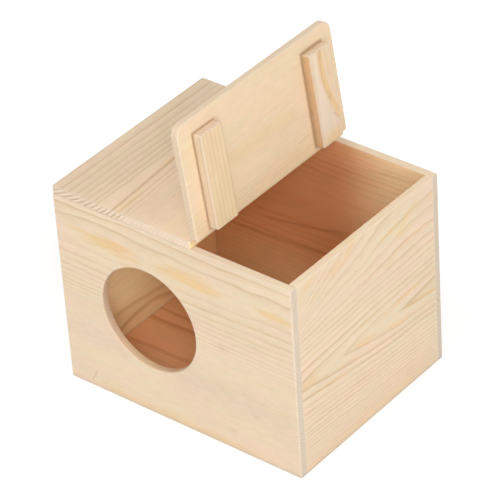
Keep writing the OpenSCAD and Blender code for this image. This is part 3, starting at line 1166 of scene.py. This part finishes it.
def metalWearGroup():  # brushing, fine scratches, dull patches and specks
    tree, given, result = newGroup(
        "metalWear",
        {"Spot": "Vector", "Brush": "Vector", "Seed": 0.0},
        dict.fromkeys(("Brushed", "Scratch", "Patch", "Speck"), "Float"),
    )
    step = join(tree, given["Seed"], given["Seed"], given["Seed"])
    spot = vectorCalc(tree, "ADD", given["Spot"], step)
    crossed = swing(tree, spot, metalHabit["crossed"], 2.0)
    thin = swing(tree, spot, metalHabit["thin"], 2.0)
    thin = multiplyAdd(tree, crossed, metalHabit["crossedShare"], thin)
    scratch = ramp(tree, calc(tree, "ABSOLUTE", thin), *metalHabit["scratch"])
    feed(tree, result["Scratch"], scratch)
    brushed = noise(tree, spot, given["Brush"], **metalHabit["brushed"])
    feed(tree, result["Brushed"], brushed)
    feedNoises(tree, result, spot, metalHabit["noises"])
    return tree


metalWear = metalWearGroup()


def wornMetal(tree, metal, spot, seed):  # its wear, its dulled colour and its roughness
    wear = useGroup(tree, metalWear, Spot=spot, Brush=metal["brush"], Seed=seed)
    colour = metal["bare"]
    for mask, share in metal["dulling"].items():
        colour = mixColour(tree, multiply(tree, wear[mask], share), colour, metal["dull"])
    rough = ramp(tree, wear["Brushed"], *metalHabit["brushedLimits"], *metal["roughness"])
    return wear, colour, rough


hinge = {
    "bare": (0.80, 0.62, 0.30),
    "dull": (0.50, 0.35, 0.15),
    "worn": (0.93, 0.80, 0.52),
    "grime": (0.16, 0.11, 0.06),
    "roughness": (0.26, 0.50),
    "brush": (9.0, 0.4, 9.0),
    "dulling": {"Patch": 0.55, "Speck": 0.5},
    "scratchShine": 0.6,
    "edgeShine": 0.8,
    "edgeWidth": 0.25,
    "knuckle": (1.6, 0.9),  # millimetres from the pin's axis, where grime gathers
    "grimeStretch": (0.9, 2.2, 0.9),
    "grimePeaks": (0.42, 0.62),
    "grimeLevels": (0.1, 0.7),
    "patchRough": 0.12,
    "grimeRough": 0.25,
    "scratchDepth": -0.6,
    "bump": (0.25, 0.00005),
    "roofLeaf": ((5.0, 119.0), (14.0, 119.5)),  # x and z of its corners, in millimetres
    "lidLeaf": ((14.0, 119.0), (23.0, 119.5)),
    "halfLength": 9.0,
    "centres": {"front": -30.0, "rear": 30.0},
    "lidSeed": 9.0,
}


def brassMaterial(name, piece, leaf, centre, seed):
    material, tree, shader = newMaterial(name, metallic=1.0)
    spot = spotOn(tree, piece)
    wear, colour, rough = wornMetal(tree, hinge, spot, seed)
    (lowX, lowZ), (highX, highZ) = leaf
    low = (lowX, centre - hinge["halfLength"], lowZ)
    high = (highX, centre + hinge["halfLength"], highZ)
    edge = useGroup(tree, arris, Board=spot, Low=low, High=high, Width=hinge["edgeWidth"])
    model = split(tree, spot)
    aside, above = (
        subtract(tree, model[axis], round(lidPin[axis] * perMetre, 3)) for axis in (0, 2))
    away = distance(tree, aside, above)
    grime = noise(tree, spot, hinge["grimeStretch"], 3.0)
    grime = ramp(tree, grime, *hinge["grimePeaks"], *hinge["grimeLevels"])
    grime = multiply(tree, ramp(tree, away, *hinge["knuckle"]), grime)
    colour = mixColour(tree, grime, colour, hinge["grime"])
    scratched = multiply(tree, wear["Scratch"], hinge["scratchShine"])
    bright = maximum(tree, scratched, multiply(tree, edge["Edge"], hinge["edgeShine"]))
    feed(tree, shader.inputs["Base Color"], mixColour(tree, bright, colour, hinge["worn"]))
    rough = multiplyAdd(tree, wear["Patch"], hinge["patchRough"], rough)
    rough = multiplyAdd(tree, grime, hinge["grimeRough"], rough)
    feed(tree, shader.inputs["Roughness"], rough)
    height = multiplyAdd(tree, wear["Scratch"], hinge["scratchDepth"], wear["Brushed"])
    addBump(tree, shader, height, *hinge["bump"])
    return material


pin = {
    "bare": (0.62, 0.60, 0.57),
    "dull": (0.38, 0.36, 0.34),
    "roughness": (0.22, 0.42),
    "brush": (0.3, 11.0, 0.3),  # turned on a lathe
    "dulling": {"Patch": 0.6, "Speck": 0.6},
    "bump": (0.3, 0.00004),
}


def pinMaterial(name, seed):
    material, tree, shader = newMaterial(name, metallic=1.0)
    wear, colour, rough = wornMetal(tree, pin, spotOn(tree), seed)
    feed(tree, shader.inputs["Base Color"], colour)
    feed(tree, shader.inputs["Roughness"], rough)
    addBump(tree, shader, wear["Brushed"], *pin["bump"])
    return material


for side, centre in hinge["centres"].items():
    roofLeaf, lidLeaf = side + "_hinge_roof_leaf", side + "_hinge_lid_leaf"
    roofBrass = brassMaterial(
        side + "RoofLeafBrass", roofLeaf, hinge["roofLeaf"], centre, centre)
    lidBrass = brassMaterial(
        side + "LidLeafBrass", lidLeaf, hinge["lidLeaf"], centre, centre + hinge["lidSeed"])
    dress(roofLeaf, roofBrass)
    dress(lidLeaf, lidBrass)
    dress(side + "_hinge_pin", pinMaterial(side + "PinSteel", centre))
print("hinges dressed")

screwSizes = {  # metres, as the holes in the leaves and the boards ask
    "shankRadius": 0.0006,
    "headRadius": 0.0011,
    "headDepth": 0.0005,
    "length": 0.0037,
    "tipLength": 0.0009,
    "tipRadius": 0.0001,
    "threadStart": 0.0007,
    "threadRunIn": 0.0003,
    "threadPitch": 0.00055,
    "threadDepth": 0.00014,
    "recessWidth": 0.00032,
    "recessLength": 0.0013,
    "recessDepth": 0.0003,
}
screw = {
    "turnSeed": 4,
    "sides": 32,  # faces round the shank, and rows of them down it
    "rows": 74,
    "bare": (0.66, 0.64, 0.60),
    "dull": (0.42, 0.40, 0.37),
    "grime": (0.07, 0.06, 0.05),
    "roughness": (0.24, 0.45),
    "brush": (4.0, 4.0, 4.0),
    "dulling": {"Patch": 0.6, "Speck": 0.5},
    "wearSeed": 2.0,
    "rings": 90.0,  # how close the marks of the lathe lie
    "ringDepth": 0.25,
    "recessFrom": (0.02, 0.22),  # millimetres below the head's face, where grime sits
    "recessTo": (0.34, 0.30),
    "recessReach": (0.72, 0.64),
    "grimeShare": 0.8,
    "grimeRough": 0.3,
    "bump": (0.2, 0.00003),
}


def screwMaterial(name):  # reads how deep and how far from its axis each point of a screw lies
    material, tree, shader = newMaterial(name, metallic=1.0)
    depth, reach = (
        place(tree, "ShaderNodeAttribute", attribute_name=kept).outputs["Fac"]
        for kept in ("screwDepth", "screwReach"))
    wear, colour, rough = wornMetal(tree, screw, spotOn(tree), screw["wearSeed"])
    turned = calc(tree, "SINE", multiply(tree, add(tree, reach, depth), screw["rings"]))
    recess = multiply(
        tree, ramp(tree, depth, *screw["recessFrom"]), ramp(tree, depth, *screw["recessTo"]))
    recess = multiply(tree, recess, ramp(tree, reach, *screw["recessReach"]))
    grime = multiply(tree, recess, screw["grimeShare"])
    feed(tree, shader.inputs["Base Color"], mixColour(tree, grime, colour, screw["grime"]))
    rough = multiplyAdd(tree, recess, screw["grimeRough"], rough)
    feed(tree, shader.inputs["Roughness"], rough)
    height = multiplyAdd(tree, turned, screw["ringDepth"], wear["Brushed"])
    addBump(tree, shader, height, *screw["bump"])
    return material


def screwTree():  # a countersunk wood screw with a cross recess on every point of a mesh
    tree, given, result = newGroup(
        "countersunkScrews",
        {"Geometry": "Geometry", **screwSizes, "turnSeed": "Int", "steel": "Material"},
        {"Geometry": "Geometry"},
        "GeometryNodeTree",
    )
    blank = place(tree, "GeometryNodeMeshCylinder", fill_type="NGON")
    blank.inputs["Vertices"].default_value = screw["sides"]
    blank.inputs["Side Segments"].default_value = screw["rows"]
    blank.inputs["Radius"].default_value = 1.0
    feed(tree, blank.inputs["Depth"], given["length"])
    x, y, z = split(tree, place(tree, "GeometryNodeInputPosition").outputs[0])
    under = subtract(tree, multiply(tree, given["length"], 0.5), z)
    turn = divide(tree, calc(tree, "ARCTAN2", y, x), math.tau)
    wound = add(tree, divide(tree, under, given["threadPitch"]), turn)
    wound = subtract(tree, calc(tree, "FRACT", wound), 0.5)
    ridge = multiply(tree, calc(tree, "ABSOLUTE", wound), 2.0)
    ridge = subtract(tree, 1.0, ridge)
    begun = subtract(tree, under, given["threadStart"])
    begun = ramp(tree, begun, 0.0, given["threadRunIn"])
    cut = multiply(tree, subtract(tree, 1.0, ridge), begun)
    shank = subtract(tree, given["shankRadius"], multiply(tree, cut, given["threadDepth"]))
    left = subtract(tree, given["length"], under)
    left = divide(tree, left, given["tipLength"], clamp=True)
    shank = subtract(tree, shank, given["tipRadius"])
    shank = multiplyAdd(tree, left, shank, given["tipRadius"])
    slant = subtract(tree, given["headRadius"], given["shankRadius"])
    slant = divide(tree, slant, given["headDepth"])
    head = subtract(tree, given["headRadius"], multiply(tree, under, slant))
    radius = maximum(tree, head, shank)
    shaped = place(tree, "GeometryNodeSetPosition")
    tree.links.new(blank.outputs["Mesh"], shaped.inputs["Geometry"])
    x, y = multiply(tree, x, radius), multiply(tree, y, radius)
    feed(tree, shaped.inputs["Position"], join(tree, x, y, multiply(tree, under, -1.0)))
    carved = place(tree, "GeometryNodeMeshBoolean", operation="DIFFERENCE", solver="EXACT")
    tree.links.new(shaped.outputs[0], carved.inputs["Mesh 1"])
    deep = multiply(tree, given["recessDepth"], 2.0)
    for across, over in (("recessLength", "recessWidth"), ("recessWidth", "recessLength")):
        slot = place(tree, "GeometryNodeMeshCube")
        feed(tree, slot.inputs["Size"], join(tree, given[across], given[over], deep))
        tree.links.new(slot.outputs["Mesh"], carved.inputs["Mesh 2"])
    solid = carved.outputs["Mesh"]
    x, y, z = split(tree, place(tree, "GeometryNodeInputPosition").outputs[0])
    kept = {
        "screwDepth": multiply(tree, z, -perMetre),
        "screwReach": multiply(tree, distance(tree, x, y), perMetre),
    }
    for label, value in kept.items():
        store = place(
            tree, "GeometryNodeStoreNamedAttribute", data_type="FLOAT", domain="POINT")
        store.inputs["Name"].default_value = label
        feed(tree, store.inputs["Value"], value)
        tree.links.new(solid, store.inputs["Geometry"])
        solid = store.outputs["Geometry"]
    random = place(tree, "FunctionNodeRandomValue", data_type="FLOAT")
    random.inputs["Max"].default_value = math.tau
    feed(tree, random.inputs["Seed"], given["turnSeed"])
    angle = [socket for socket in random.outputs if socket.enabled][0]
    spun = place(tree, "GeometryNodeInstanceOnPoints")
    tree.links.new(given["Geometry"], spun.inputs["Points"])
    tree.links.new(solid, spun.inputs["Instance"])
    feed(tree, spun.inputs["Rotation"], join(tree, 0.0, 0.0, angle))
    real = place(tree, "GeometryNodeRealizeInstances")
    tree.links.new(spun.outputs[0], real.inputs[0])
    painted = place(tree, "GeometryNodeSetMaterial")
    tree.links.new(real.outputs[0], painted.inputs["Geometry"])
    feed(tree, painted.inputs["Material"], given["steel"])
    tree.links.new(painted.outputs[0], result["Geometry"])
    return tree


screwShape = screwTree()
screwSteel = screwMaterial("screwSteel")


def makeScrews(name, spots, turned):
    points = bpy.data.meshes.new(name + "_points")
    points.from_pydata(spots, [], [])
    seeds = addObject(name + "_points", points)
    build = seeds.modifiers.new("screws", "NODES")
    build.node_group = screwShape
    values = {**screwSizes, "turnSeed": screw["turnSeed"], "steel": screwSteel}
    for item in screwShape.interface.items_tree:
        if item.in_out == "INPUT" and item.name in values:
            build[item.identifier] = values[item.name]
    bpy.context.view_layer.update()
    built = seeds.evaluated_get(bpy.context.evaluated_depsgraph_get())
    data = bpy.data.meshes.new_from_object(built)
    data.name = name
    bpy.data.objects.remove(seeds)
    bpy.data.meshes.remove(points)
    data.transform(turned)
    return addObject(name, data)


screwPlaces = {"spacing": 0.011, "fromPin": 0.0052, "top": 0.1195}  # metres


def screwSpots(side):
    x = lidPin[0] + side * screwPlaces["fromPin"]
    half = screwPlaces["spacing"] / 2
    return [
        (x, centre / perMetre + step, screwPlaces["top"])
        for centre in hinge["centres"].values() for step in (-half, half)]


roofScrews = makeScrews("roof_leaf_wood_screws", screwSpots(-1), Matrix.Identity(4))
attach(roofScrews, "box")
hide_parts("roof_leaf_screws")
lidScrews = makeScrews("lid_leaf_wood_screws", screwSpots(1), openLid)
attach(lidScrews, "lid")
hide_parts("lid_leaf_screws")
faceCounts = [len(screws.data.polygons) for screws in (roofScrews, lidScrews)]
print("screws made:", *faceCounts, "faces")


stage = {
    "floorSize": 6.0,
    "worldLight": 0.40,
    "floorAlbedo": 0.80,
    "cameraAlbedo": 0.50,
    "cameraGlow": 0.60,
    "aim": (0.0, 0.0, 0.06),
}


def directlySeen(tree):  # by the camera, or mirrored in metal
    path = place(tree, "ShaderNodeLightPath").outputs
    seen = calc(tree, "ADD", path["Is Camera Ray"], path["Is Glossy Ray"], clamp=True)
    return calc(tree, "ADD", seen, path["Is Transmission Ray"], clamp=True)


def stageMaterial():
    material = bpy.data.materials.new("stage_white")
    material.use_nodes = True
    tree = material.node_tree
    tree.nodes.clear()
    output = place(tree, "ShaderNodeOutputMaterial")
    seen = directlySeen(tree)
    lit = place(tree, "ShaderNodeBsdfDiffuse")
    greys = [(stage[albedo],) * 3 for albedo in ("floorAlbedo", "cameraAlbedo")]
    feed(tree, lit.inputs["Color"], mixColour(tree, seen, *greys))
    glow = place(tree, "ShaderNodeEmission")
    feed(tree, glow.inputs["Strength"], multiply(tree, seen, stage["cameraGlow"]))
    both = place(tree, "ShaderNodeAddShader")
    tree.links.new(lit.outputs[0], both.inputs[0])
    tree.links.new(glow.outputs[0], both.inputs[1])
    tree.links.new(both.outputs[0], output.inputs[0])
    return material


def addFloor(size):
    data = bpy.data.meshes.new("stage_floor")
    corners = [(-size, -size, 0), (size, -size, 0), (size, size, 0), (-size, size, 0)]
    data.from_pydata(corners, [], [(0, 1, 2, 3)])
    data.materials.append(stageMaterial())
    floor = addObject("stage_floor", data)


def lightWorld(strength):  # white where it is seen, and dimmer as a light
    world = bpy.data.worlds.new("studio")
    bpy.context.scene.world = world
    world.use_nodes = True
    tree = world.node_tree
    tree.nodes.clear()
    sky = place(tree, "ShaderNodeBackground")
    level = ramp(tree, directlySeen(tree), 0.0, 1.0, strength, 1.0, smooth=False)
    feed(tree, sky.inputs["Strength"], level)
    output = place(tree, "ShaderNodeOutputWorld")
    tree.links.new(sky.outputs[0], output.inputs[0])


softboxes = {
    "right": {"from": (1.13, -0.12, 1.10), "size": 0.9, "power": 6.5},
    "left": {"from": (-1.20, -0.20, 1.10), "size": 0.9, "power": 4.6},
    "behind": {"from": (-0.55, 1.50, 0.80), "size": 0.9, "power": 6.0},
    "front": {"from": (-0.20, -1.60, 0.80), "size": 0.4, "power": 2.7},
    "overFront": {"from": (0.0, -0.80, 1.50), "size": 0.6, "power": 4.4},
    "fill": {"from": (0.86, -1.0, 1.01), "size": 0.4, "power": 5.3},
    "low": {"from": (1.20, -1.00, 0.34), "size": 0.4, "power": 4.8},
}


def addSoftbox(name, box):
    data = bpy.data.lights.new(name, "AREA")
    data.shape = "SQUARE"
    data.size = box["size"]
    data.energy = box["power"]
    lamp = addObject(name, data)
    lamp.location = box["from"]
    towards = Vector(stage["aim"]) - lamp.location
    lamp.rotation_euler = towards.to_track_quat("-Z", "Y").to_euler()


addFloor(stage["floorSize"])
lightWorld(stage["worldLight"])
for name, box in softboxes.items():
    addSoftbox(name, box)
print("stage and lights set")
